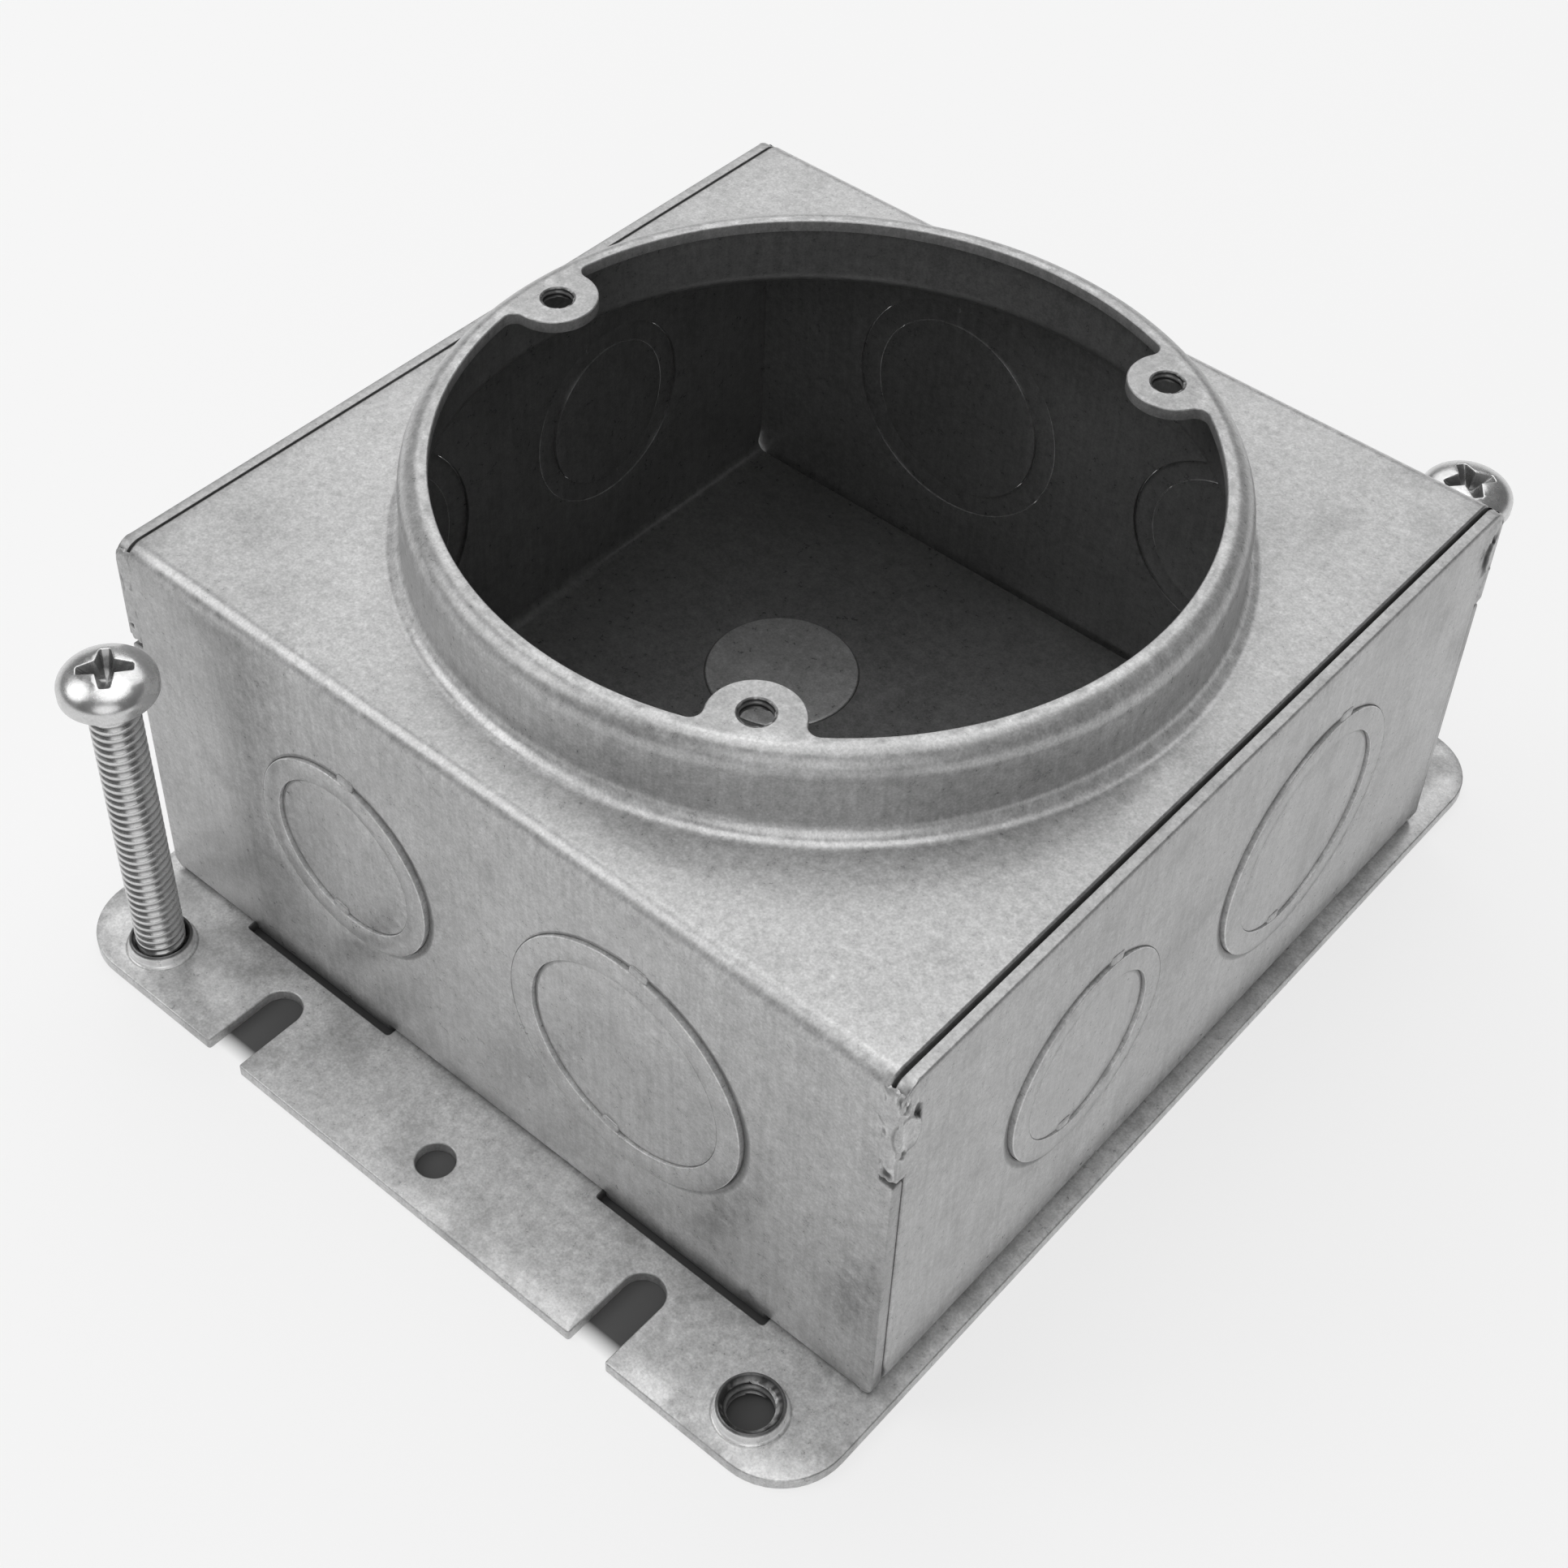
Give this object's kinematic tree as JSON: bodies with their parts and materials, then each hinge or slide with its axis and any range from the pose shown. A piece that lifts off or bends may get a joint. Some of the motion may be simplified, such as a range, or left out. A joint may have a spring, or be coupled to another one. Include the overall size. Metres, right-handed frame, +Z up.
{
  "type": "square electrical floor box with round collar",
  "caption": "Galvanised square wiring box on a flanged base plate, with a raised round collar, tapped ears and levelling screws.",
  "frame": {"origin": "centre of the base plate's underside, below the centre of the collar", "axes": "+Z up out of the collar, +X along the front wall, +Y from the front wall to the back wall"},
  "size_m": [0.1228, 0.1508, 0.0698],
  "materials": {
    "galvanised_sheet": "satin galvanised sheet with soft mottling",
    "zinc_screw": "bright zinc plate"
  },
  "bodies": {
    "box": {"collar_shell": "galvanised_sheet", "side_channel": "galvanised_sheet", "base_plate": "galvanised_sheet"},
    "screw_front_left": {"levelling_screw_front_left": "zinc_screw"},
    "screw_back_right": {"levelling_screw_back_right": "zinc_screw"}
  },
  "joints": [
    {"name": "screw_front_left_travel", "type": "slide", "parent": "box", "child": "screw_front_left", "axis": [0, 0, 1], "range_m": [-0.044, 0.002]},
    {"name": "screw_back_right_travel", "type": "slide", "parent": "box", "child": "screw_back_right", "axis": [0, 0, 1], "range_m": [-0.044, 0.002]}
  ]
}
